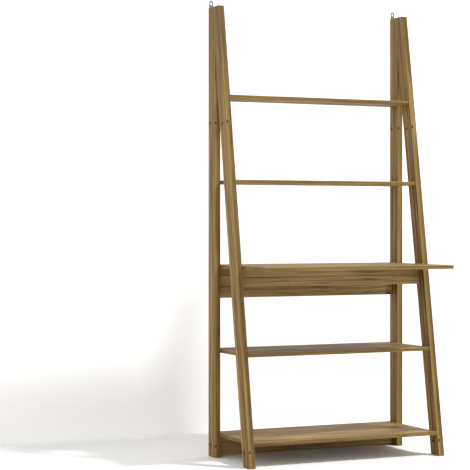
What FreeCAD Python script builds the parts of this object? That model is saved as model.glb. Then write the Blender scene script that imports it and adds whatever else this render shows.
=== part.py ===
import FreeCAD, Part
import math
import os

# A ladder desk. Two side frames, each an upright post with a leaning leg, carry four shelves and a writing board
# on hidden cam fittings. Three rails with stub tenons brace the frames, and two steel straps reach for a wall.
# +X is to the right seen from the front, -Y towards the sitter, +Y towards the wall and +Z up. The origin is on
# the floor, in the middle of the overall box. All sizes are in millimetres.

# Heights, to the top faces of the boards
bottom_shelf_height = 98.0
shelf_pitch = 336.5
post_above_top_shelf = 358.5

# Side frames
overall_width = 866.0
frame_thickness = 25.0
post_depth = 62.0
leg_depth = 62.0  # square to the leg's length
leg_depth_at_top = 36.0  # level, in front of the post
frame_depth_at_floor = 392.4  # back of the post to the toe of the leg
edge_ease = 1.0  # small bevel on every edge of the timber
foot_clearance = 1.0  # the feet stand this far off the floor, on their glides

# Boards
board_thickness = 15.0
shelf_setback = 1.5  # from the leg's front face at the shelf's top
desk_overhang = 235.0  # in front of the legs

# Rails
rail_thickness = 15.0
desk_rear_rail_height = 120.0
desk_front_rail_height = 68.0
front_rail_inset = 2.0  # from the leg's rear face, at the rail's lower edge
tenon_thickness = 7.0
tenon_shoulder = 12.0  # above and below the tenon
tenon_length = 10.0
tenon_clearance = 0.2

# Seam between post and leg
spline_thickness = 4.0
spline_reach = 11.0  # into each of the two
spline_end_margin = 32.0  # from either end of the seam
spline_clearance = 0.15

# Cam fittings
cam_diameter = 12.0
cam_above_axis = 3.8  # from the bolt's axis to the top of the cam
cam_setback = 24.0  # from the board's end to the cam's axis
cam_drive_length = 8.0
cam_drive_width = 1.6
cam_drive_depth = 2.0
bolt_diameter = 5.0
bolt_thread_length = 11.0  # in the post or leg
bolt_head_diameter = 6.4
bolt_head_length = 4.5
fitting_clearance = 0.15  # round bolts, cams, pins and screws
fitting_sides = 12  # flat sides of the small round fittings and their holes

# Glides under the feet
glide_diameter = 16.0
glide_height = 4.0  # mostly sunk into the foot
glide_bevel = 0.6
glide_pin_diameter = 3.0
glide_pin_length = 14.0

# Straps to the wall
strap_width = 16.0
strap_thickness = 2.0
strap_rise = 29.5  # above the post
strap_on_post = 60.0
strap_slot_width = 7.0
strap_slot_height = 12.0
strap_slot_rim = 6.0  # metal above the slot
strap_screw_drop = 15.0  # first screw, below the top of the post
strap_screw_pitch = 30.0
screw_diameter = 4.0
screw_length = 28.0
screw_tip_length = 5.0
screw_tip_diameter = 1.0
screw_head_diameter = 8.0
screw_head_top_diameter = 5.2
screw_head_height = 2.2
screw_recess_length = 4.0
screw_recess_width = 1.0
screw_recess_depth = 1.3

# Sizes that follow from those above
board_names = ("bottom_shelf", "lower_shelf", "desk_top", "upper_shelf", "top_shelf")
board_heights = {name: bottom_shelf_height + shelf_pitch * i for i, name in enumerate(board_names)}
frame_height = board_heights["top_shelf"] + post_above_top_shelf
frame_depth_at_top = post_depth + leg_depth_at_top
lean = (frame_depth_at_floor - frame_depth_at_top) / frame_height
leg_level_depth = leg_depth * math.hypot(1.0, lean)
inner_half_width = overall_width / 2 - frame_thickness
cam_height = board_thickness / 2 + cam_above_axis
glide_seat_depth = glide_height - foot_clearance


def leg_front(z):
    """Depth of the leg's front face at a height, measured from the back of the post."""
    return frame_depth_at_floor - lean * z


def leg_rear(z):
    """Depth of the leg's rear face at a height, where it stands free of the post."""
    return leg_front(z) - leg_level_depth


def leg_middle(z):
    """Depth of the middle of the leg at a height."""
    return leg_front(z) - leg_level_depth / 2


desk_depth = leg_front(board_heights["desk_top"]) + desk_overhang
wall_y = (desk_depth - strap_thickness - screw_head_height) / 2  # the posts' rear faces
seam_foot = (frame_depth_at_floor - leg_level_depth - post_depth) / lean  # where leg and post meet

sides = {"left": -1, "right": 1}


def vector(x, depth, z):
    """A point given by its depth from the back of the posts."""
    return FreeCAD.Vector(x, wall_y - depth, z)


def block(x_low, x_high, depth_low, depth_high, z_low, z_high):
    """A box between two planes each way, with its depth measured from the back of the posts."""
    size = (x_high - x_low, depth_high - depth_low, z_high - z_low)
    return Part.makeBox(*size, vector(x_low, depth_high, z_low))


def grown(box, clearance):
    """The hole for a box, wider by a clearance all round."""
    b = box.BoundBox
    corner = FreeCAD.Vector(b.XMin - clearance, b.YMin - clearance, b.ZMin - clearance)
    return Part.makeBox(b.XLength + 2 * clearance, b.YLength + 2 * clearance, b.ZLength + 2 * clearance, corner)


def eased(shape):
    """The same solid with all its edges bevelled."""
    return shape.makeChamfer(edge_ease, shape.Edges)


def ring(diameter, centre, direction):
    """The flat-sided outline of a small round fitting, square to a direction."""
    turn = FreeCAD.Rotation(FreeCAD.Vector(0, 0, 1), direction)
    angles = [2 * math.pi * (i + 0.5) / fitting_sides for i in range(fitting_sides)]
    arms = [FreeCAD.Vector(math.cos(angle), math.sin(angle), 0) * (diameter / 2) for angle in angles]
    corners = [centre + turn.multVec(arm) for arm in arms]
    return Part.makePolygon(corners + corners[:1])


def pin(diameter, length, start, direction):
    """A small round fitting, or the hole for one, from a point along a direction."""
    return Part.Face(ring(diameter, start, direction)).extrude(direction * length)


def disc(diameter, height, start, direction):
    """A truly round plate from a point along a direction."""
    return Part.makeCylinder(diameter / 2, height, start, direction)


def inward(side):
    """The direction from a side frame towards the middle of the desk."""
    return FreeCAD.Vector(-sides[side], 0, 0)


def frame_middle(side):
    """X of the middle of a side frame's thickness."""
    return sides[side] * (overall_width - frame_thickness) / 2


def frame_span(side):
    """Lowest and highest X of a side frame."""
    middle = frame_middle(side)
    return middle - frame_thickness / 2, middle + frame_thickness / 2


# Cam fittings: a joint is a point on the inner face of a post or leg

def board_joints(name, side):
    """The two points where a board's end is drawn against the post and against the leg."""
    z = board_heights[name] - board_thickness / 2
    x = sides[side] * inner_half_width
    return [vector(x, post_depth / 2, z), vector(x, leg_middle(z), z)]


def all_joints(side, member):
    """A side frame's joints on its post or on its leg."""
    index = {"post": 0, "leg": 1}[member]
    return [board_joints(name, side)[index] for name in board_names]


def cam_bolt(joint, side):
    """A bolt screwed into the frame, with its head inside the cam."""
    into_board = inward(side)
    shank_end = cam_setback - bolt_head_length / 2
    start = joint - into_board * bolt_thread_length
    shank = pin(bolt_diameter, bolt_thread_length + shank_end, start, into_board)
    head = pin(bolt_head_diameter, bolt_head_length, joint + into_board * shank_end, into_board)
    return shank.fuse(head).removeSplitter()


def cam_bolt_hole(joint, side):
    """The hole in the post or leg that the bolt is screwed into."""
    depth = bolt_thread_length + fitting_clearance
    return pin(bolt_diameter + 2 * fitting_clearance, depth, joint, -inward(side))


def cam_foot(joint, side):
    """The point on a board's underside below a cam's axis."""
    return joint + inward(side) * cam_setback - FreeCAD.Vector(0, 0, board_thickness / 2)


def cam_lock(joint, side):
    """A cam with a mouth for the bolt's head and a screwdriver slot in its lower face."""
    up = FreeCAD.Vector(0, 0, 1)
    foot = cam_foot(joint, side)
    mouth_half = bolt_head_diameter / 2 + fitting_clearance
    mouth_reach = bolt_head_length / 2 + fitting_clearance  # past the axis
    rim_x = foot.x + sides[side] * cam_diameter
    reach_x = foot.x - sides[side] * mouth_reach
    mouth = Part.makeBox(abs(rim_x - reach_x), 2 * mouth_half, 2 * mouth_half,
                         FreeCAD.Vector(min(rim_x, reach_x), foot.y - mouth_half, joint.z - mouth_half))
    slot = Part.makeBox(cam_drive_width, cam_drive_length, cam_drive_depth,
                        foot - FreeCAD.Vector(cam_drive_width / 2, cam_drive_length / 2, 0))
    return pin(cam_diameter, cam_height, foot, up).cut(mouth).cut(slot)


def cam_pocket(joint, side):
    """The pocket for a cam and the bore for its bolt, in the end of a board."""
    foot = cam_foot(joint, side)
    pocket = pin(cam_diameter + 2 * fitting_clearance, cam_height, foot, FreeCAD.Vector(0, 0, 1))
    bore = pin(bolt_head_diameter + 2 * fitting_clearance, cam_setback, joint, inward(side))
    return pocket.fuse(bore)


# Boards

def board(name):
    """A shelf, or the desk, between the two side frames."""
    top = board_heights[name]
    depth = desk_depth if name == "desk_top" else leg_front(top) - shelf_setback
    plank = eased(block(-inner_half_width, inner_half_width, 0, depth, top - board_thickness, top))
    for side in sides:
        for joint in board_joints(name, side):
            plank = plank.cut(cam_pocket(joint, side))
    return plank


# Rails: each is given by its lower edge, its height and the depth of its rear face

desk_underside = board_heights["desk_top"] - board_thickness
front_rail_foot = desk_underside - desk_front_rail_height
bottom_rail_height = bottom_shelf_height - board_thickness - foot_clearance
rails = {
    "desk_rear_rail": (desk_underside - desk_rear_rail_height, desk_rear_rail_height, 0.0),
    "desk_front_rail": (front_rail_foot, desk_front_rail_height, leg_rear(front_rail_foot) + front_rail_inset),
    "bottom_rear_rail": (foot_clearance, bottom_rail_height, 0.0),
}
rail_members = {"desk_rear_rail": "post", "desk_front_rail": "leg", "bottom_rear_rail": "post"}


def rail_tenon(name, half_length):
    """A bar through the rail whose two ends are its tenons."""
    foot, height, rear = rails[name]
    shoulder = (rail_thickness - tenon_thickness) / 2
    return block(-half_length, half_length, rear + shoulder, rear + rail_thickness - shoulder,
                 foot + tenon_shoulder, foot + height - tenon_shoulder)


def rail(name):
    """A rail with a stub tenon at either end."""
    foot, height, rear = rails[name]
    plank = eased(block(-inner_half_width, inner_half_width, rear, rear + rail_thickness, foot, foot + height))
    return plank.fuse(rail_tenon(name, inner_half_width + tenon_length)).removeSplitter()


def mortises(member):
    """The holes that the rails' tenons leave in both posts or in both legs."""
    names = [name for name, carrier in rail_members.items() if carrier == member]
    return [grown(rail_tenon(name, inner_half_width + tenon_length), tenon_clearance) for name in names]


# Side frames

def frame_spline(side):
    """The loose tongue in the seam between post and leg."""
    x = frame_middle(side)
    return block(x - spline_thickness / 2, x + spline_thickness / 2, post_depth - spline_reach,
                 post_depth + spline_reach, seam_foot + spline_end_margin, frame_height - spline_end_margin)


def glide_spot(side, member):
    """The point on the floor below the middle of the foot of a post or leg."""
    depth = post_depth / 2 if member == "post" else leg_middle(foot_clearance)
    return vector(frame_middle(side), depth, 0)


def glide(side, member):
    """A round nylon glide with a bevelled rim and a pin that is driven into the foot."""
    up = FreeCAD.Vector(0, 0, 1)
    spot = glide_spot(side, member)
    plate = disc(glide_diameter, glide_height, spot, up)
    rim = [edge for edge in plate.Edges if edge.BoundBox.ZMax < glide_height / 2]
    nail = pin(glide_pin_diameter, glide_pin_length, spot + up * glide_height, up)
    return plate.makeChamfer(glide_bevel, rim).fuse(nail)


def glide_hole(side, member):
    """The seat for a glide in the foot of a post or leg, with the hole for its pin."""
    up = FreeCAD.Vector(0, 0, 1)
    spot = glide_spot(side, member)
    seat = disc(glide_diameter + 2 * fitting_clearance, glide_seat_depth, spot + up * foot_clearance, up)
    nail = pin(glide_pin_diameter + 2 * fitting_clearance, glide_pin_length + fitting_clearance,
               spot + up * glide_height, up)
    return seat.fuse(nail)


def member_holes(side, member):
    """What is cut out of a post or leg: bolt holes, mortises, the spline's groove and the glide's seat."""
    bolts = [cam_bolt_hole(joint, side) for joint in all_joints(side, member)]
    groove = grown(frame_spline(side), spline_clearance)
    return bolts + mortises(member) + [groove, glide_hole(side, member)]


def rear_post(side):
    """An upright post, with pilot holes for the strap's screws in its back."""
    low, high = frame_span(side)
    post = eased(block(low, high, 0, post_depth, foot_clearance, frame_height))
    pilots = [screw_hole(seat) for seat in screw_seats(side)]
    return post.cut(member_holes(side, "post") + pilots)


def front_leg(side):
    """A leaning leg with level ends, cut plumb where it closes against the post."""
    low, high = frame_span(side)
    outline = [
        vector(low, leg_rear(foot_clearance), foot_clearance),
        vector(low, leg_front(foot_clearance), foot_clearance),
        vector(low, frame_depth_at_top, frame_height),
        vector(low, post_depth, frame_height),
        vector(low, post_depth, seam_foot),
    ]
    face = Part.Face(Part.makePolygon(outline + outline[:1]))
    leg = eased(face.extrude(FreeCAD.Vector(high - low, 0, 0)))
    return leg.cut(member_holes(side, "leg"))


# Straps and their screws, on the backs of the posts

def screw_seats(side):
    """The points on the back of the post where the strap's screws go in."""
    drops = (strap_screw_drop, strap_screw_drop + strap_screw_pitch)
    return [vector(frame_middle(side), 0, frame_height - drop) for drop in drops]


def screw_hole(seat):
    """The straight hole round a screw, through the strap and into the post."""
    reach = screw_length + fitting_clearance
    start = seat + FreeCAD.Vector(0, strap_thickness, 0)
    return pin(screw_diameter + 2 * fitting_clearance, reach, start, FreeCAD.Vector(0, -1, 0))


def strap_screw(seat):
    """A pointed screw with a low head and a crossed recess."""
    wall = FreeCAD.Vector(0, 1, 0)
    under_head = seat + wall * strap_thickness
    straight = screw_length - screw_tip_length
    shank = pin(screw_diameter, straight, under_head, -wall)
    rings = [ring(screw_diameter, under_head - wall * straight, -wall),
             ring(screw_tip_diameter, under_head - wall * screw_length, -wall)]
    tip = Part.makeLoft(rings, True, True)
    head = Part.makeCone(screw_head_diameter / 2, screw_head_top_diameter / 2, screw_head_height, under_head, wall)
    screw = head.fuse([shank, tip])
    floor_y = under_head.y + screw_head_height - screw_recess_depth
    for x_size, z_size in ((screw_recess_length, screw_recess_width), (screw_recess_width, screw_recess_length)):
        corner = FreeCAD.Vector(seat.x - x_size / 2, floor_y, seat.z - z_size / 2)
        screw = screw.cut(Part.makeBox(x_size, screw_recess_depth, z_size, corner))
    return screw


def wall_strap(side):
    """A flat strap with a round top and a tall slot that stands clear above the post."""
    middle = frame_middle(side)
    half = strap_width / 2
    slot_half = strap_slot_width / 2
    top = frame_height + strap_rise
    foot = frame_height - strap_on_post

    def point(x, z):
        return vector(middle + x, 0, z)

    shoulder = top - half
    crown = Part.Arc(point(half, shoulder), point(0, top), point(-half, shoulder)).toShape()
    sides_and_foot = Part.makePolygon([point(-half, shoulder), point(-half, foot), point(half, foot),
                                       point(half, shoulder)])
    plate_edge = Part.Wire(sides_and_foot.Edges + [crown])
    thickness = FreeCAD.Vector(0, strap_thickness, 0)
    plate = Part.Face(plate_edge).extrude(thickness)

    slot_high = top - strap_slot_rim - slot_half
    slot_low = slot_high - (strap_slot_height - strap_slot_width)
    slot = Part.makeBox(strap_slot_width, strap_thickness, slot_high - slot_low, point(-slot_half, slot_low))
    ends = [disc(strap_slot_width, strap_thickness, point(0, z), thickness) for z in (slot_low, slot_high)]
    holes = [screw_hole(seat) for seat in screw_seats(side)]
    return plate.cut(slot.fuse(ends)).cut(holes)


# All pieces by name

nodes = {name: board(name) for name in board_names}
nodes.update({name: rail(name) for name in rails})
cam_bolts = []
cam_locks = []
strap_screws = []
for side in sides:
    nodes[side + "_rear_post"] = rear_post(side)
    nodes[side + "_front_leg"] = front_leg(side)
    nodes[side + "_frame_spline"] = frame_spline(side)
    nodes[side + "_wall_strap"] = wall_strap(side)
    nodes[side + "_rear_glide"] = glide(side, "post")
    nodes[side + "_front_glide"] = glide(side, "leg")
    for joint in all_joints(side, "post") + all_joints(side, "leg"):
        cam_bolts.append(cam_bolt(joint, side))
        cam_locks.append(cam_lock(joint, side))
    strap_screws += [strap_screw(seat) for seat in screw_seats(side)]
nodes["cam_bolts"] = Part.makeCompound(cam_bolts)
nodes["cam_locks"] = Part.makeCompound(cam_locks)
nodes["strap_screws"] = Part.makeCompound(strap_screws)

os.makedirs("parts", exist_ok=True)
for name, shape in nodes.items():
    shape.exportStep("parts/" + name + ".step")
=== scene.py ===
import math

import bpy
import numpy as np
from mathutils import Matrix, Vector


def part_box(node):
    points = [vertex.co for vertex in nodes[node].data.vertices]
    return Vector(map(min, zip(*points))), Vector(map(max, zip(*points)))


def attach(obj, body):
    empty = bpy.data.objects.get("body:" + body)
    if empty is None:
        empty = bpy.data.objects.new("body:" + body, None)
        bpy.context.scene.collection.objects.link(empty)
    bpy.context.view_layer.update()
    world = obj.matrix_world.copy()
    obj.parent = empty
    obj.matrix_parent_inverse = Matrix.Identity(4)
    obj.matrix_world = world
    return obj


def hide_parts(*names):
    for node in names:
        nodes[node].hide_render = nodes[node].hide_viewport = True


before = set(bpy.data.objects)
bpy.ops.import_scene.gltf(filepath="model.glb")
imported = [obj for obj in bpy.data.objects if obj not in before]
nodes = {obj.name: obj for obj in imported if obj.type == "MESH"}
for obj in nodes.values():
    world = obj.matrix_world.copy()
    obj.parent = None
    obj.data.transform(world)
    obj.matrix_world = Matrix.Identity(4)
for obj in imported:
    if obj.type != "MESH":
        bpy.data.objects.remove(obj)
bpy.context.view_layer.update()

scene = bpy.context.scene
mm = 0.001

# The camera, fitted to the edges of frames and boards: level and turned to the right, its place measured from
# the middle of the desk and from the plane of the posts' rear faces
image_side = 470
focal_pixels = 1604.64
horizon_row = 223.23
camera_turn = math.radians(24.674)
camera_left = 3030.8 * mm
camera_before_posts = 5911.3 * mm
camera_height = 936.8 * mm

# The room: a pale floor, a pale wall behind the desk, an even sky, one soft lamp before the desk on the right
# and a broad weak one low on the left. The wall's distance comes from its line with the floor, and the first
# lamp's side, rise and width from the shadow that the right frame and the top shelf throw on the wall
wall_behind_posts = 700 * mm
stage_reach = 6.0
stage_rise = 4.5
sky_level = 0.69
lamp_level = 0.68
lamp_side = math.radians(46.3)
lamp_rise = math.radians(56)
lamp_distance = 10.0
lamp_width = 0.9
fill_level = 0.14
fill_side = math.radians(-40)
fill_rise = math.radians(12)
fill_distance = 9.0
fill_width = 5.0

# The paper of floor and wall: its colour to the eye, the duller ones that it throws back, and its lift
paper_white = "#fefefd"
floor_bounce = "#d9d8d6"
floor_lift = 0.02
wall_bounce = "#f3f3f2"
wall_lift = 0.12


def box_of(node):
    """The lowest and the highest corner of a node's box, as arrays."""
    low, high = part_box(node)
    return np.array(low), np.array(high)


def points_of(node):
    """All vertices of a node as rows of x, y, z."""
    mesh = nodes[node].data
    flat = np.empty(3 * len(mesh.vertices))
    mesh.vertices.foreach_get("co", flat)
    return flat.reshape(-1, 3)


# The posts' rear plane, how far the middle of each side frame is from the middle of the desk, and half its
# thickness
post_low, post_high = box_of("left_rear_post")
rear_plane = post_high[1]
frame_middle = -(post_low[0] + post_high[0]) / 2
half_frame = (post_high[0] - post_low[0]) / 2

# The lean of the legs, from the front corners of the left leg at its foot and at its top, and where the front
# face then lies in axes that lean with it
corner_slack = 2 * mm
leg_points = points_of("left_front_leg")
leg_foot = leg_points[:, 2].min()
leg_top = leg_points[:, 2].max()
foot_front = leg_points[leg_points[:, 2] < leg_foot + corner_slack, 1].min()
top_front = leg_points[leg_points[:, 2] > leg_top - corner_slack, 1].min()
leg_lean = math.atan2(top_front - foot_front, leg_top - leg_foot)
leg_front_line = foot_front * math.cos(leg_lean) - leg_foot * math.sin(leg_lean)


# Tools for materials

def linear(colour):
    """An sRGB hex colour as linear RGBA."""
    srgb = np.array([int(colour[i:i + 2], 16) for i in (1, 3, 5)]) / 255
    rgb = np.where(srgb <= 0.04045, srgb / 12.92, ((srgb + 0.055) / 1.055) ** 2.4)
    return (*rgb, 1.0)


def add(tree, kind, links, stops=(), **settings):
    """Adds a node with its settings. Links gives each input a socket to join or a value to hold, and stops
    are the places and colours of a colour ramp. Returns the node's outputs."""
    made = tree.nodes.new("ShaderNode" + kind)
    for name, value in settings.items():
        setattr(made, name, value)
    for name, value in links.items():
        if isinstance(value, bpy.types.NodeSocket):
            tree.links.new(value, made.inputs[name])
        else:
            made.inputs[name].default_value = value
    for number, (place, colour) in enumerate(stops):
        ramp = made.color_ramp.elements
        stop = ramp[number] if number < 2 else ramp.new(place)
        stop.position = place
        stop.color = linear(colour)
    return made.outputs


def new_material(name):
    """An empty material and its node tree."""
    material = bpy.data.materials.new(name)
    material.use_nodes = True
    material.node_tree.nodes.clear()
    return material, material.node_tree


def noise(tree, place, size, detail):
    """Noise whose patches have about the given size along each axis, from 0 to 1."""
    cell = add(tree, "VectorMath", {0: place, 1: size}, operation="DIVIDE")["Vector"]
    return add(tree, "TexNoise", {"Vector": cell, "Scale": 1.0, "Detail": detail})["Fac"]


def dress(material, *names):
    """Gives CAD nodes a material."""
    for name in names:
        slots = nodes[name].data.materials
        slots.clear()
        slots.append(material)


# Oak. The turn brings the grain of a piece to the x axis. Across the grain, y is then square to the narrow
# faces of the piece and z to its broad ones
along_x_lying = (0.0, 0.0, 0.0)
along_x_upright = (math.radians(90), 0.0, 0.0)
along_z = (0.0, math.radians(90), 0.0)
along_leg = (leg_lean, math.radians(90), 0.0)

# Sizes of the oak's figure, along the grain and across it
band_length = 700 * mm
band_width = 10 * mm
ring_width = 13 * mm
wander_size = (420 * mm, 110 * mm, 110 * mm)
wander_reach = 26 * mm
streak_length = 150 * mm
streak_width = 2.6 * mm
pore_length = 14 * mm
pore_width = 0.9 * mm  # three times the real width, so that pores show from across a room
knot_patch = (560 * mm, 240 * mm, 330 * mm)
knot_radius = 4.5 * mm
knot_reach = 42 * mm
knot_rag = 1.5 * mm
rag_size = (6 * mm, 4 * mm, 4 * mm)
pin_knot_spacing = (110 * mm, 36 * mm, 36 * mm)
tone_shift = (2220 * mm, 3180 * mm, 1740 * mm)  # brings tones onto the boards where the real ones have them
shadow_line_drop = 31.5 * mm  # a painted shadow line along the desk rails, below the underside of the desk
shadow_line_width = 2.2 * mm

# Marks of the uprights, whose heights are measured along the grain from the floor: knots, drawn out by
# shortening their distances, dark heartwood and pale sapwood, with their shares of the colour, and painted
# shade of the desk on the fronts of the legs
knot_step = 1290 * mm
front_knot = -7.5 * mm  # rightwards from the middle of the front face
knot_along_factor = 0.8
knot_side_factor = 0.6
side_stripe = 9 * mm
front_stripe = 6 * mm
sap_stripe = 14 * mm
heart_share = 0.6
sap_share = 0.42
dark_top_start = 1400 * mm
dark_top_full = 1690 * mm
top_side_share = 0.42
top_front_share = 0.62
desk_shade_middle = 560 * mm  # painted shade of the desk, on the fronts of the legs below it
desk_shade_core = 210 * mm
desk_shade_reach = 300 * mm

ring_colour = linear("#4d3713")
pore_colour = linear("#4a3614")
# the colour of heartwood, and of the painted shade below the desk
heart_and_shade_colour = linear("#4f3914")
sap_colour = linear("#b2955c")
# the painted highlight along the arrises
arris_highlight_colour = linear("#c2a672")
end_colour = linear("#775c2f")
pin_knot_colour = linear("#2b1d0c")


def grain_space(tree, turn):
    """In grain axes: where a point lies, how far its face looks along each axis, and 1 on narrow faces."""
    place = add(tree, "TexCoord", {})["Object"]
    normal = add(tree, "NewGeometry", {})["Normal"]
    point = add(tree, "Mapping", {"Vector": place, "Rotation": turn})["Vector"]
    looking = add(tree, "Mapping", {"Vector": normal, "Rotation": turn}, vector_type="VECTOR")["Vector"]
    share = add(tree, "VectorMath", {0: looking}, operation="ABSOLUTE")["Vector"]
    facing = add(tree, "SeparateXYZ", {"Vector": share})
    narrow = add(tree, "MapRange", {"Value": facing["Y"], "From Min": 0.6, "From Max": 0.8})["Result"]
    return point, facing, narrow


def scattered_knots(tree, point, facing):
    """Knots strewn over the broad faces of a board, about one to each patch: their distance, and the push
    that makes the grain flow round them."""
    cell = add(tree, "VectorMath", {0: point, 1: knot_patch}, operation="DIVIDE")["Vector"]
    centre = add(tree, "TexVoronoi", {"Vector": cell, "Scale": 1.0, "Randomness": 0.85})["Position"]
    offset = add(tree, "VectorMath", {0: cell, 1: centre}, operation="SUBTRACT")["Vector"]
    offset = add(tree, "VectorMath", {0: offset, 1: knot_patch}, operation="MULTIPLY")["Vector"]
    drawn_out = add(tree, "VectorMath", {0: offset, 1: (0.4, 1, 0)}, operation="MULTIPLY")["Vector"]
    distance = add(tree, "VectorMath", {0: drawn_out}, operation="LENGTH")["Value"]
    off_face = add(tree, "MapRange", {"Value": facing["Z"], "From Min": 0.6, "From Max": 0.8,
                                      "To Min": knot_reach, "To Max": 0.0})["Result"]
    distance = add(tree, "Math", {0: distance, 1: off_face}, operation="ADD")["Value"]
    fade = add(tree, "MapRange", {"Value": distance, "From Max": knot_reach, "To Min": -0.75, "To Max": 0.0},
               interpolation_type="SMOOTHSTEP")["Result"]
    push = add(tree, "VectorMath", {0: offset, "Scale": fade}, operation="SCALE")["Vector"]
    push = add(tree, "VectorMath", {0: push, 1: (0, 1, 0)}, operation="MULTIPLY")["Vector"]
    return distance, push


def upright_place(tree, point, front_line):
    """Where a point of an upright lies: along it, behind its front face, and left and right of its middle."""
    part = add(tree, "SeparateXYZ", {"Vector": point})
    behind = add(tree, "Math", {0: part["Y"], 1: front_line}, operation="SUBTRACT")["Value"]
    which = add(tree, "Math", {0: part["Z"]}, operation="SIGN")["Value"]
    left = add(tree, "Math", {0: which, 1: -frame_middle, 2: part["Z"]}, operation="MULTIPLY_ADD")["Value"]
    right = add(tree, "Math", {0: left, 1: -1.0}, operation="MULTIPLY")["Value"]
    return part["X"], behind, left, right


def paired_knots(tree, narrow, along, behind, right, first_knot, side_knot):
    """Knots of an upright, one on the side face and one on the front face at the same heights: their
    distance, and the push that makes the grain flow round them."""
    from_first = add(tree, "Math", {0: along, 1: first_knot}, operation="SUBTRACT")["Value"]
    upward = add(tree, "Math", {0: from_first, 1: knot_step / 2, 2: -knot_step / 2},
                 operation="WRAP")["Value"]
    on_side = add(tree, "Math", {0: behind, 1: side_knot}, operation="SUBTRACT")["Value"]
    on_front = add(tree, "Math", {0: right, 1: front_knot}, operation="SUBTRACT")["Value"]
    across = add(tree, "Mix", {"Factor": narrow, "A": on_side, "B": on_front})["Result"]
    drawn_up = add(tree, "Math", {0: upward, 1: knot_along_factor}, operation="MULTIPLY")["Value"]
    widening = add(tree, "Mix", {"Factor": narrow, "A": knot_side_factor, "B": 1.0})["Result"]
    drawn_out = add(tree, "Math", {0: across, 1: widening}, operation="MULTIPLY")["Value"]
    both = add(tree, "CombineXYZ", {"X": drawn_up, "Y": drawn_out})["Vector"]
    distance = add(tree, "VectorMath", {0: both}, operation="LENGTH")["Value"]
    fade = add(tree, "MapRange", {"Value": distance, "From Max": knot_reach / 2, "To Min": 0.7,
                                  "To Max": 0.0}, interpolation_type="SMOOTHSTEP")["Result"]
    shift = add(tree, "Math", {0: fade, 1: across}, operation="MULTIPLY")["Value"]
    backward = add(tree, "Math", {0: shift, 1: -1.0}, operation="MULTIPLY")["Value"]
    side_push = add(tree, "Mix", {"Factor": narrow, "A": backward, "B": 0.0})["Result"]
    front_push = add(tree, "Mix", {"Factor": narrow, "A": 0.0, "B": shift})["Result"]
    return distance, add(tree, "CombineXYZ", {"Y": side_push, "Z": front_push})["Vector"]


def heartwood_and_desk_shade(tree, narrow, along, behind, right, desk_shade_share):
    """The share of dark heartwood in an upright, along the front edge of its side face and the right edge of
    its front face and towards the top, with painted shade of the desk on a stretch of the front face below
    it."""
    on_side = add(tree, "MapRange", {"Value": behind, "From Max": side_stripe, "To Min": heart_share,
                                     "To Max": 0.0}, interpolation_type="SMOOTHSTEP")["Result"]
    on_front = add(tree, "MapRange", {"Value": right, "From Min": half_frame - front_stripe,
                                      "From Max": half_frame, "To Max": heart_share},
                   interpolation_type="SMOOTHSTEP")["Result"]
    dark_share = add(tree, "Mix", {"Factor": narrow, "A": on_side, "B": on_front})["Result"]
    top_share = add(tree, "Mix", {"Factor": narrow, "A": top_side_share, "B": top_front_share})["Result"]
    at_top = add(tree, "MapRange", {"Value": along, "From Min": dark_top_start, "From Max": dark_top_full,
                                    "To Max": top_share})["Result"]
    dark_share = add(tree, "Math", {0: dark_share, 1: at_top}, operation="MAXIMUM")["Value"]
    # painted shade that the desk throws on a stretch of the leg fronts below it
    from_desk_shade = add(tree, "Math", {0: along, 1: desk_shade_middle}, operation="SUBTRACT")["Value"]
    from_desk_shade = add(tree, "Math", {0: from_desk_shade}, operation="ABSOLUTE")["Value"]
    on_desk_shade = add(tree, "MapRange", {"Value": from_desk_shade, "From Min": desk_shade_core,
                                        "From Max": desk_shade_reach, "To Min": desk_shade_share,
                                        "To Max": 0.0})["Result"]
    on_desk_shade = add(tree, "Math", {0: on_desk_shade, 1: narrow}, operation="MULTIPLY")["Value"]
    return add(tree, "Math", {0: dark_share, 1: on_desk_shade}, operation="MAXIMUM")["Value"]


def sapwood(tree, narrow, along, left):
    """The share of pale sapwood in an upright: along the left edge of its front, less towards the top."""
    full_share = add(tree, "MapRange", {"Value": along, "From Min": dark_top_start, "From Max": dark_top_full,
                                        "To Min": sap_share, "To Max": 0.0})["Result"]
    on_left = add(tree, "MapRange", {"Value": left, "From Min": half_frame - sap_stripe,
                                     "From Max": half_frame, "To Max": full_share},
                  interpolation_type="SMOOTHSTEP")["Result"]
    return add(tree, "Mix", {"Factor": narrow, "A": 0.0, "B": on_left})["Result"]


def upright_figure(tree, point, narrow, front_line, first_knot, side_knot, desk_shade_share):
    """The distance from an upright's knots, the push round them, and the shares of its heartwood with the
    painted shade of the desk, and of its sapwood, with their colours."""
    along, behind, left, right = upright_place(tree, point, front_line)
    distance, push = paired_knots(tree, narrow, along, behind, right, first_knot, side_knot)
    dark_share = heartwood_and_desk_shade(tree, narrow, along, behind, right, desk_shade_share)
    sap = sapwood(tree, narrow, along, left)
    return distance, push, [(dark_share, heart_and_shade_colour), (sap, sap_colour)]


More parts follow.
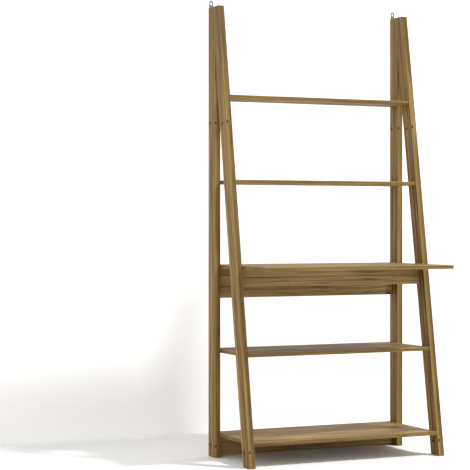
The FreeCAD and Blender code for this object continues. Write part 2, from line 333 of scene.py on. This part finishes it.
def growth(tree, grain, narrow, tone_size, tone_swing, spread, lightness, edge_lightness, saturation):
    """The wood's own colour: bands of growth from dark to pale, under broad tones on the broad faces and an
    even one on the narrow faces. The spread is how far from the middle of the noise the palest and the
    darkest band lie, and the swing is how far the tones leave the lightness."""
    bands = noise(tree, grain, (band_length, band_width, band_width), 2.0)
    colour = add(tree, "ValToRGB", {"Fac": bands}, stops=(
        (0.5 - spread, "#5f451c"), (0.5 + spread, "#a98c53"),
        (0.5 - spread / 3, "#816533"), (0.5 + spread / 3, "#947841")))["Color"]
    shifted = add(tree, "VectorMath", {0: grain, 1: tone_shift}, operation="ADD")["Vector"]
    broad = noise(tree, shifted, tone_size, 1.0)
    tone = add(tree, "MapRange", {"Value": broad, "From Min": 0.3, "From Max": 0.7,
                                  "To Min": (1 - tone_swing) * lightness,
                                  "To Max": (1 + tone_swing) * lightness})["Result"]
    tone = add(tree, "Mix", {"Factor": narrow, "A": tone, "B": edge_lightness})["Result"]
    colour = add(tree, "VectorMath", {0: colour, "Scale": tone}, operation="SCALE")["Vector"]
    return add(tree, "HueSaturation", {"Color": colour, "Saturation": saturation})["Color"]


def ring_and_shadow_lines(tree, grain, point, shadow_line):
    """How strongly the thin dark lines of growth rings show, with one long straight painted shadow line if it
    is given.
    """
    rings = noise(tree, grain, (2 * band_length, ring_width, ring_width), 0.5)
    rings = add(tree, "Math", {0: rings, 1: 0.5}, operation="SUBTRACT")["Value"]
    rings = add(tree, "Math", {0: rings}, operation="ABSOLUTE")["Value"]
    lines = add(tree, "MapRange", {"Value": rings, "From Max": 0.035, "To Min": 0.55, "To Max": 0.0},
                interpolation_type="SMOOTHSTEP")["Result"]
    if shadow_line is None:
        return lines
    # the painted shadow line, level along the rail
    across = add(tree, "SeparateXYZ", {"Vector": point})["Y"]
    on_line = add(tree, "Math", {0: across, 1: shadow_line, 2: shadow_line_width / 2},
                  operation="COMPARE")["Value"]
    return add(tree, "Math", {0: lines, 1: on_line}, operation="MAXIMUM")["Value"]


def edged(tree, colour, facing):
    """Lays a painted highlight on the arrises, as a paler colour, and duller cut ends on a colour."""
    squarest = add(tree, "Math", {0: facing["Y"], 1: facing["Z"]}, operation="MAXIMUM")["Value"]
    squarest = add(tree, "Math", {0: squarest, 1: facing["X"]}, operation="MAXIMUM")["Value"]
    # painted highlight on the chamfers, found by their slanted normals
    arris_highlight = add(tree, "MapRange", {"Value": squarest, "From Min": 0.75, "From Max": 0.95, "To Min": 0.45,
                                   "To Max": 0.0})["Result"]
    colour = add(tree, "Mix", {"Factor": arris_highlight, "A": colour, "B": arris_highlight_colour}, data_type="RGBA")["Result"]
    cut_end = add(tree, "MapRange", {"Value": facing["X"], "From Min": 0.85, "From Max": 0.95,
                                     "To Max": 0.65})["Result"]
    return add(tree, "Mix", {"Factor": cut_end, "A": colour, "B": end_colour}, data_type="RGBA")["Result"]


def knotted(tree, colour, point, distance):
    """Lays dark ringed knots with ragged rims on a colour, and pin knots between them."""
    ragged = noise(tree, point, rag_size, 1.0)
    ragged = add(tree, "MapRange", {"Value": ragged, "To Min": -knot_rag, "To Max": knot_rag})["Result"]
    ragged = add(tree, "Math", {0: distance, 1: ragged}, operation="ADD")["Value"]
    within = add(tree, "Math", {0: ragged, 1: knot_radius}, operation="DIVIDE")["Value"]
    ringed = add(tree, "ValToRGB", {"Fac": within}, stops=(
        (0.0, "#2a1700"), (1.0, "#331f00"), (0.4, "#3d2600"), (0.7, "#5c3d0f")))["Color"]
    knot = add(tree, "MapRange", {"Value": within, "From Min": 0.95, "From Max": 1.25, "To Min": 0.94,
                                  "To Max": 0.0}, interpolation_type="SMOOTHSTEP")["Result"]
    colour = add(tree, "Mix", {"Factor": knot, "A": colour, "B": ringed}, data_type="RGBA")["Result"]
    cell = add(tree, "VectorMath", {0: point, 1: pin_knot_spacing}, operation="DIVIDE")["Vector"]
    speck = add(tree, "TexVoronoi", {"Vector": cell, "Scale": 1.0})["Distance"]
    speck = add(tree, "MapRange", {"Value": speck, "From Min": 0.03, "From Max": 0.065, "To Min": 0.85,
                                   "To Max": 0.0}, interpolation_type="SMOOTHSTEP")["Result"]
    return add(tree, "Mix", {"Factor": speck, "A": colour, "B": pin_knot_colour}, data_type="RGBA")["Result"]


def oak(name, turn, look, upright=None, shadow_line=None):
    """Oak, planed along the grain and oiled: brown in bands and streaks that wander along the piece and part
    round its knots, with open pores that show as short dark dashes, under a dull sheen."""
    material, tree = new_material(name)
    point, facing, narrow = grain_space(tree, turn)
    stripes = []
    if upright is None:
        distance, push = scattered_knots(tree, point, facing)
    else:
        distance, push, stripes = upright_figure(tree, point, narrow, **upright)
    flowing = add(tree, "VectorMath", {0: point, 1: push}, operation="ADD")["Vector"]
    slow = add(tree, "VectorMath", {0: flowing, 1: wander_size}, operation="DIVIDE")["Vector"]
    wander = add(tree, "TexNoise", {"Vector": slow, "Scale": 1.0, "Detail": 1.0})["Color"]
    grain = add(tree, "VectorMath", {0: wander, 1: (0, wander_reach, wander_reach), 2: flowing},
                operation="MULTIPLY_ADD")["Vector"]

    colour = growth(tree, grain, narrow, **look)
    lines = ring_and_shadow_lines(tree, grain, point, shadow_line)
    colour = add(tree, "Mix", {"Factor": lines, "A": colour, "B": ring_colour}, data_type="RGBA")["Result"]
    streaks = noise(tree, grain, (streak_length, streak_width, streak_width), 3.0)
    shade = add(tree, "MapRange", {"Value": streaks, "From Min": 0.25, "From Max": 0.75, "To Min": 0.8,
                                   "To Max": 1.18})["Result"]
    colour = add(tree, "VectorMath", {0: colour, "Scale": shade}, operation="SCALE")["Vector"]
    pores = noise(tree, grain, (pore_length, pore_width, pore_width), 1.0)
    pores = add(tree, "MapRange", {"Value": pores, "From Min": 0.6, "From Max": 0.72,
                                   "To Max": 0.7})["Result"]
    colour = add(tree, "Mix", {"Factor": pores, "A": colour, "B": pore_colour}, data_type="RGBA")["Result"]
    for share, stripe in stripes:
        colour = add(tree, "Mix", {"Factor": share, "A": colour, "B": stripe}, data_type="RGBA")["Result"]
    colour = edged(tree, colour, facing)
    colour = knotted(tree, colour, point, distance)

    sunk = add(tree, "Math", {0: pores, 1: lines}, operation="ADD")["Value"]
    height = add(tree, "Math", {0: streaks, 1: sunk}, operation="SUBTRACT")["Value"]
    relief = add(tree, "Bump", {"Height": height, "Strength": 0.35, "Distance": 0.3 * mm})["Normal"]
    rough = add(tree, "MapRange", {"Value": streaks, "From Min": 0.3, "From Max": 0.7, "To Min": 0.66,
                                   "To Max": 0.54})["Result"]
    shader = add(tree, "BsdfPrincipled", {"Base Color": colour, "Roughness": rough, "Normal": relief,
                                          "IOR": 1.47, "Specular IOR Level": 0.25})["BSDF"]
    add(tree, "OutputMaterial", {"Surface": shader})
    return material


# The oak of each kind of piece, and the places of the marks on posts and legs
post_look = dict(tone_size=(600 * mm, 24 * mm, 24 * mm), tone_swing=0.13, spread=0.16, lightness=1.0,
                 edge_lightness=0.78, saturation=1.0)
leg_look = dict(post_look, lightness=1.03, edge_lightness=0.83)
board_look = dict(tone_size=(380 * mm, 60 * mm, 60 * mm), tone_swing=0.42, spread=0.26, lightness=0.92,
                  edge_lightness=0.81, saturation=1.0)
# The lower shelf is painted darker, as painted shade under the desk, and the bottom shelf paler, as painted
# light from the lamp
lower_board_painted_shade_look = dict(board_look, lightness=0.86)
bottom_board_painted_light_look = dict(board_look, lightness=1.19)
# The rails are painted lighter and a little duller than the boards, and the rear rails lighter still: painted
# light that lifts the shade under the desk and the bottom shelf
front_rail_painted_light_look = dict(tone_size=(500 * mm, 30 * mm, 30 * mm), tone_swing=0.2, spread=0.3, lightness=1.42,
                       edge_lightness=1.28, saturation=0.9)
rear_rail_painted_light_look = dict(front_rail_painted_light_look, lightness=1.63, edge_lightness=1.47)
post_marks = dict(front_line=post_low[1], first_knot=47 * mm, side_knot=47 * mm, desk_shade_share=0.0)
leg_marks = dict(front_line=leg_front_line, first_knot=41 * mm, side_knot=37 * mm, desk_shade_share=0.4)
rail_shadow_line = shadow_line_drop - box_of("desk_top")[0][2]  # across the grain of the rails, which is downwards: the height of the painted shadow line
dress(oak("oak_planed_oiled_post", along_z, post_look, upright=post_marks),
      "left_rear_post", "right_rear_post")
dress(oak("oak_planed_oiled_leg", along_leg, leg_look, upright=leg_marks),
      "left_front_leg", "right_front_leg")
dress(oak("oak_planed_oiled_board", along_x_lying, board_look),
      "top_shelf", "upper_shelf", "desk_top")
dress(oak("oak_planed_oiled_lower_board_painted_shade", along_x_lying, lower_board_painted_shade_look), "lower_shelf")
dress(oak("oak_planed_oiled_bottom_board_painted_light", along_x_lying, bottom_board_painted_light_look), "bottom_shelf")
dress(oak("oak_planed_oiled_front_rail_painted_light", along_x_upright, front_rail_painted_light_look, shadow_line=rail_shadow_line),
      "desk_front_rail")
dress(oak("oak_planed_oiled_rear_rail_painted_light", along_x_upright, rear_rail_painted_light_look, shadow_line=rail_shadow_line),
      "desk_rear_rail", "bottom_rear_rail")


# Materials of the fittings

def finish_metal(tree, colour, rough, height, depth):
    """Closes a metal's tree: bare metal with the given colour and roughness, its relief as deep as said."""
    relief = add(tree, "Bump", {"Height": height, "Strength": 0.4, "Distance": depth})["Normal"]
    shader = add(tree, "BsdfPrincipled", {"Base Color": colour, "Roughness": rough, "Normal": relief,
                                          "Metallic": 1.0})["BSDF"]
    add(tree, "OutputMaterial", {"Surface": shader})


def rolled_steel():
    """Zinc-plated steel strip, rolled along its length: fine upright streaks 0.4 mm wide, and cloudy plating
    in patches of 6 mm that dull it unevenly."""
    material, tree = new_material("steel_rolled_zinc_plated")
    place = add(tree, "TexCoord", {})["Object"]
    streaks = noise(tree, place, (0.4 * mm, 0.4 * mm, 22 * mm), 2.0)
    clouds = noise(tree, place, (6 * mm, 6 * mm, 9 * mm), 2.0)
    both = add(tree, "Math", {0: streaks, 1: clouds}, operation="ADD")["Value"]
    both = add(tree, "Math", {0: both, 1: 0.5}, operation="MULTIPLY")["Value"]
    colour = add(tree, "ValToRGB", {"Fac": both}, stops=((0.34, "#5c5f62"), (0.66, "#868a8d")))["Color"]
    rough = add(tree, "MapRange", {"Value": clouds, "From Min": 0.3, "From Max": 0.7, "To Min": 0.32,
                                   "To Max": 0.5})["Result"]
    finish_metal(tree, colour, rough, streaks, 0.05 * mm)
    return material


def turned_steel():
    """Zinc-plated steel, turned: rings 0.25 mm apart follow the profile as the tool left them, over a faint
    yellowish bloom."""
    material, tree = new_material("steel_turned_zinc_plated")
    place = add(tree, "TexCoord", {})["Object"]
    along_profile = add(tree, "Attribute", {}, attribute_name="turning")["Fac"]
    rings = add(tree, "CombineXYZ", {"X": along_profile})["Vector"]
    rings = noise(tree, rings, (0.25 * mm, 1, 1), 2.0)
    bloom = noise(tree, place, (3 * mm, 3 * mm, 3 * mm), 1.0)
    colour = add(tree, "ValToRGB", {"Fac": bloom}, stops=((0.35, "#8f9294"), (0.65, "#a59f8c")))["Color"]
    rough = add(tree, "MapRange", {"Value": rings, "From Min": 0.3, "From Max": 0.7, "To Min": 0.28,
                                   "To Max": 0.42})["Result"]
    finish_metal(tree, colour, rough, rings, 0.04 * mm)
    return material


def drawn_steel():
    """Zinc-plated steel rod, drawn along X: fine lines 0.3 mm wide along the rod, brighter than strip."""
    material, tree = new_material("steel_drawn_zinc_plated")
    place = add(tree, "TexCoord", {})["Object"]
    lines = noise(tree, place, (14 * mm, 0.3 * mm, 0.3 * mm), 2.0)
    colour = add(tree, "ValToRGB", {"Fac": lines}, stops=((0.35, "#85888a"), (0.65, "#a9acad")))["Color"]
    rough = add(tree, "MapRange", {"Value": lines, "From Min": 0.3, "From Max": 0.7, "To Min": 0.3,
                                   "To Max": 0.44})["Result"]
    finish_metal(tree, colour, rough, lines, 0.04 * mm)
    return material


def cast_zinc():
    """Zinc alloy, die-cast: a dull skin with grains of 0.7 mm and darker flow marks some 5 mm long."""
    material, tree = new_material("zinc_die_cast")
    place = add(tree, "TexCoord", {})["Object"]
    grains = noise(tree, place, (0.7 * mm, 0.7 * mm, 0.7 * mm), 2.0)
    flow = noise(tree, place, (5 * mm, 2 * mm, 5 * mm), 2.0)
    colour = add(tree, "ValToRGB", {"Fac": flow}, stops=((0.35, "#7d8084"), (0.65, "#a3a6a8")))["Color"]
    rough = add(tree, "MapRange", {"Value": grains, "From Min": 0.3, "From Max": 0.7, "To Min": 0.42,
                                   "To Max": 0.58})["Result"]
    finish_metal(tree, colour, rough, grains, 0.08 * mm)
    return material


def moulded_nylon():
    """Nylon, moulded: a fine spark-eroded texture of 0.5 mm and scuffs that pale it where it slides."""
    material, tree = new_material("nylon_moulded")
    place = add(tree, "TexCoord", {})["Object"]
    sparks = noise(tree, place, (0.5 * mm, 0.5 * mm, 0.5 * mm), 2.0)
    scuffs = noise(tree, place, (7 * mm, 1.2 * mm, 7 * mm), 2.0)
    colour = add(tree, "ValToRGB", {"Fac": scuffs}, stops=((0.4, "#2a231d"), (0.7, "#463d35")))["Color"]
    rough = add(tree, "MapRange", {"Value": sparks, "From Min": 0.3, "From Max": 0.7, "To Min": 0.45,
                                   "To Max": 0.62})["Result"]
    relief = add(tree, "Bump", {"Height": sparks, "Strength": 0.3, "Distance": 0.06 * mm})["Normal"]
    shader = add(tree, "BsdfPrincipled", {"Base Color": colour, "Roughness": rough, "Normal": relief,
                                          "IOR": 1.53})["BSDF"]
    add(tree, "OutputMaterial", {"Surface": shader})
    return material


def sawn_beech():
    """Beech, sawn along the grain: pale, with the short dark flecks of its rays and a dry rough surface."""
    material, tree = new_material("beech_sawn")
    place = add(tree, "TexCoord", {})["Object"]
    bands = noise(tree, place, (5 * mm, 5 * mm, 160 * mm), 2.0)
    colour = add(tree, "ValToRGB", {"Fac": bands}, stops=((0.35, "#b78f63"), (0.65, "#d3b188")))["Color"]
    rays = noise(tree, place, (0.8 * mm, 0.8 * mm, 5 * mm), 1.0)
    fleck = add(tree, "MapRange", {"Value": rays, "From Min": 0.6, "From Max": 0.7, "To Max": 0.6})["Result"]
    colour = add(tree, "Mix", {"Factor": fleck, "A": colour, "B": linear("#8a6038")},
                 data_type="RGBA")["Result"]
    relief = add(tree, "Bump", {"Height": rays, "Strength": 0.5, "Distance": 0.2 * mm})["Normal"]
    rough = add(tree, "MapRange", {"Value": bands, "From Min": 0.3, "From Max": 0.7, "To Min": 0.7,
                                   "To Max": 0.82})["Result"]
    shader = add(tree, "BsdfPrincipled", {"Base Color": colour, "Roughness": rough, "Normal": relief})["BSDF"]
    add(tree, "OutputMaterial", {"Surface": shader})
    return material


dress(rolled_steel(), "left_wall_strap", "right_wall_strap")
dress(drawn_steel(), "cam_bolts")
dress(sawn_beech(), "left_frame_spline", "right_frame_spline")


# Turned and cast fittings, in place of the flat-sided solids. Sizes are those of the solids
steps_round = 96
face_steps = 26
rim_steps = 6
crease_angle = math.radians(35)
cam_radius = 5.9 * mm  # just inside the flats of its pocket
cam_rim = 0.5 * mm
cam_height = 11.3 * mm
drive_length = 8 * mm
drive_width = 1.6 * mm
drive_depth = 2 * mm
head_radius = 4 * mm
head_height = 2.2 * mm
dome_power = 4  # of the radius, by which the head falls away from its flat middle
shank_radius = 2 * mm
shank_length = 23 * mm
screw_length = 28 * mm
tip_radius = 0.5 * mm
cross_length = 4 * mm
cross_width = 1 * mm
cross_depth = 1.3 * mm
glide_radius = 8 * mm
glide_rim = 0.9 * mm
glide_height = 4 * mm
glide_pin_radius = 1.5 * mm
glide_pin_length = 14 * mm
wall_softness = 0.35 * mm  # how far the wall of a recess slopes


def turned(name, profile, recess, axes, centres, material, slot, *replaced):
    """A profile turned about an axis, once at each centre. The profile is rows of radius and height from the
    middle of the seen face over its rim to the middle of the back; a point stands radius out at its angle and
    height along the axis, less the depth of the recess there if it lies on the seen face."""
    radius, height = np.vstack(profile).T
    angle = np.linspace(0, 2 * np.pi, steps_round, endpoint=False)
    across = radius[:, None] * np.cos(angle)
    upward = radius[:, None] * np.sin(angle)
    on_face = np.arange(len(radius)) < np.argmax(radius)
    outward = height[:, None] - recess(across, upward) * on_face[:, None]
    rings = np.stack([across, upward, outward], axis=-1)
    poles = rings[[0, -1], 0]
    points = np.concatenate([poles[:1], rings[1:-1].reshape(-1, 3), poles[1:]]) @ np.array(axes)

    number = np.arange(1, len(points) - 1).reshape(-1, steps_round)
    beside = np.roll(number, -1, axis=1)
    walls = np.stack([number[:-1], number[1:], beside[1:], beside[:-1]], axis=-1).reshape(-1, 4)
    first = np.stack([np.zeros(steps_round, int), number[0], beside[0]], axis=-1)
    last = np.stack([np.full(steps_round, len(points) - 1), beside[-1], number[-1]], axis=-1)
    copies = len(points) * np.arange(len(centres))[:, None, None]
    faces = []
    for kind in (walls, first, last):
        faces += (kind + copies).reshape(-1, kind.shape[1]).tolist()

    run = np.concatenate([[0], np.cumsum(np.hypot(np.diff(radius), np.diff(height)))])
    run = np.concatenate([run[:1], np.repeat(run[1:-1], steps_round), run[-1:]])
    mesh = bpy.data.meshes.new(name)
    mesh.from_pydata((points + np.array(centres)[:, None]).reshape(-1, 3), [], faces)
    mesh.attributes.new("turning", "FLOAT", "POINT").data.foreach_set("value", np.tile(run, len(centres)))
    mesh.shade_smooth()
    mesh.set_sharp_from_angle(angle=crease_angle)
    mesh.materials.append(material)
    piece = bpy.data.objects.new(name, mesh)
    scene.collection.objects.link(piece)
    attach(piece, "root")
    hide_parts(*replaced)


def round_over(radius, rim):
    """The seen face from its middle outwards in even steps, and then a quarter circle over its rim."""
    face = np.linspace(0, radius - rim, face_steps)
    turn = np.linspace(0, np.pi / 2, rim_steps)[1:]
    outward = np.append(face, radius - rim + rim * np.sin(turn))
    return np.column_stack([outward, np.append(0 * face, rim * np.cos(turn) - rim)])


def recess_wall(distance, depth):
    """A recess of a depth where the distance from its outline is below zero, with a short sloping wall."""
    return depth * np.clip(0.5 - distance / wall_softness, 0, 1)


def drive_slot(across, upward):
    """The screwdriver slot of a cam: a bar along the second axis."""
    return recess_wall(np.maximum(abs(across) - drive_width / 2, abs(upward) - drive_length / 2), drive_depth)


def drive_cross(across, upward):
    """The crossed recess of a screw: the nearer of two bars."""
    lying = np.maximum(abs(across) - cross_length / 2, abs(upward) - cross_width / 2)
    standing = np.maximum(abs(across) - cross_width / 2, abs(upward) - cross_length / 2)
    return recess_wall(np.minimum(lying, standing), cross_depth)


def plain_face(across, upward):
    """No recess."""
    return np.zeros_like(across)


def middles(points):
    """The middle of the box round some points."""
    return (points.min(axis=0) + points.max(axis=0)) / 2


# One cam at each end of a board against post and leg, its face level with the board's underside
facing_down = [(1, 0, 0), (0, -1, 0), (0, 0, -1)]
cam_points = points_of("cam_locks")
cam_spots = []
for board in ("bottom_shelf", "lower_shelf", "desk_top", "upper_shelf", "top_shelf"):
    low, high = box_of(board)
    in_board = cam_points[(cam_points[:, 2] > low[2] - mm) & (cam_points[:, 2] < high[2])]
    halfway = middles(in_board)[1]
    for side in (-1, 1):
        for end in (-1, 1):
            own = in_board[(side * in_board[:, 0] > 0) & (end * (in_board[:, 1] - halfway) > 0)]
            cam_spots.append((*middles(own)[:2], low[2]))
cam_back = [(cam_radius, -cam_height), (0, -cam_height)]
turned("cam_discs", [round_over(cam_radius, cam_rim), cam_back], drive_slot, facing_down, cam_spots,
       cast_zinc(), "cam_zinc", "cam_locks")

# Two screws through each strap, with domed heads towards the wall
facing_wall = [(0, 0, 1), (1, 0, 0), (0, 1, 0)]
screw_points = points_of("strap_screws")
screw_face = screw_points[:, 1].max()
dome_radius = np.linspace(0, head_radius, face_steps)
dome = np.column_stack([dome_radius, -head_height * (dome_radius / head_radius) ** dome_power])
shank = [(shank_radius, -head_height), (shank_radius, -head_height - shank_length),
         (tip_radius, -head_height - screw_length), (0, -head_height - screw_length)]
screw_spots = []
for side in (-1, 1):
    in_strap = screw_points[side * screw_points[:, 0] > 0]
    halfway = middles(in_strap)[2]
    for end in (-1, 1):
        own = middles(in_strap[end * (in_strap[:, 2] - halfway) > 0])
        screw_spots.append((own[0], screw_face, own[2]))
turned("pan_head_screws", [dome, shank], drive_cross, facing_wall, screw_spots,
       turned_steel(), "screw_steel", "strap_screws")

# A glide under each foot
nylon = moulded_nylon()
glide_back = [(glide_radius, -glide_height), (glide_pin_radius, -glide_height),
              (glide_pin_radius, -glide_height - glide_pin_length), (0, -glide_height - glide_pin_length)]
glide_profile = [round_over(glide_radius, glide_rim), glide_back]
for foot in ("left_front", "left_rear", "right_front", "right_rear"):
    spot = (*middles(points_of(foot + "_glide"))[:2], 0.0)
    turned(foot + "_nail_in_glide", glide_profile, plain_face, facing_down, [spot], nylon, "glide_nylon",
           foot + "_glide")


# The room, the light and the camera

def seen_directly(tree):
    """1 for rays that the camera sends straight, by a mirror or through glass, and 0 for the light's own."""
    path = add(tree, "LightPath", {})
    seen = path["Is Camera Ray"]
    for kind in ("Is Glossy Ray", "Is Transmission Ray"):
        seen = add(tree, "Math", {0: seen, 1: path[kind]}, operation="MAXIMUM")["Value"]
    return seen


def studio_paper(name, bounce, lift_level):
    """Matt white paper with a little lift to the camera, so that lit paper reads white, and a duller colour
    for the light that it throws back. It is clear from behind, so that the desk can be seen from the back and
    from below."""
    material, tree = new_material(name)
    seen = seen_directly(tree)
    lift = add(tree, "Math", {0: seen, 1: lift_level}, operation="MULTIPLY")["Value"]
    white = add(tree, "Mix", {"Factor": seen, "A": linear(bounce), "B": linear(paper_white)},
                data_type="RGBA")["Result"]
    matt = add(tree, "BsdfDiffuse", {"Color": white})["BSDF"]
    glow = add(tree, "Emission", {"Strength": lift})["Emission"]
    paper = add(tree, "AddShader", {0: matt, 1: glow})["Shader"]
    behind = add(tree, "NewGeometry", {})["Backfacing"]
    clear = add(tree, "BsdfTransparent", {})["BSDF"]
    sheet = add(tree, "MixShader", {"Fac": behind, 1: paper, 2: clear})["Shader"]
    add(tree, "OutputMaterial", {"Surface": sheet})
    return material


def stage_sheet(name, corners, material):
    """A flat sheet of the stage, its corners anticlockwise seen from its face."""
    mesh = bpy.data.meshes.new(name)
    mesh.from_pydata(corners, [], [(0, 1, 2, 3)])
    mesh.materials.append(material)
    made = bpy.data.objects.new(name, mesh)
    scene.collection.objects.link(made)


wall_plane = rear_plane + wall_behind_posts
stage_sheet("floor", [(-stage_reach, -stage_reach, 0), (stage_reach, -stage_reach, 0),
                      (stage_reach, stage_reach, 0), (-stage_reach, stage_reach, 0)],
            studio_paper("studio_paper_floor", floor_bounce, floor_lift))
stage_sheet("wall", [(-stage_reach, wall_plane, 0), (stage_reach, wall_plane, 0),
                     (stage_reach, wall_plane, stage_rise), (-stage_reach, wall_plane, stage_rise)],
            studio_paper("studio_paper_wall", wall_bounce, wall_lift))

world = bpy.data.worlds.new("studio_sky")
world.use_nodes = True
sky_tree = world.node_tree
sky_tree.nodes.clear()
strength = add(sky_tree, "MapRange", {"Value": seen_directly(sky_tree), "To Min": sky_level})["Result"]
sky = add(sky_tree, "Background", {"Color": linear("#ffffff"), "Strength": strength})["Background"]
add(sky_tree, "OutputWorld", {"Surface": sky})
scene.world = world


def soft_lamp(name, level, side, rise, distance, width):
    """A square lamp that looks at the floor under the middle of the desk. Its power is level times the
    squares of pi and of the distance, so that a white sheet that faces it there is as bright as the level."""
    light = bpy.data.lights.new(name, "AREA")
    light.size = width
    light.energy = level * math.pi ** 2 * distance ** 2
    lamp = bpy.data.objects.new(name, light)
    lamp.location = (distance * math.cos(rise) * math.sin(side), -distance * math.cos(rise) * math.cos(side),
                     distance * math.sin(rise))
    lamp.rotation_euler = (math.pi / 2 - rise, 0, side)
    scene.collection.objects.link(lamp)


soft_lamp("key_lamp", lamp_level, lamp_side, lamp_rise, lamp_distance, lamp_width)
soft_lamp("fill_lamp", fill_level, fill_side, fill_rise, fill_distance, fill_width)

lens = bpy.data.cameras.new("camera")
lens.sensor_width = 36
lens.lens = lens.sensor_width * focal_pixels / image_side
lens.shift_y = (horizon_row - image_side / 2) / image_side
camera = bpy.data.objects.new("camera", lens)
camera.location = (-camera_left, rear_plane - camera_before_posts, camera_height)
camera.rotation_euler = (math.pi / 2, 0, -camera_turn)
scene.collection.objects.link(camera)
scene.camera = camera
scene.view_settings.view_transform = "Standard"
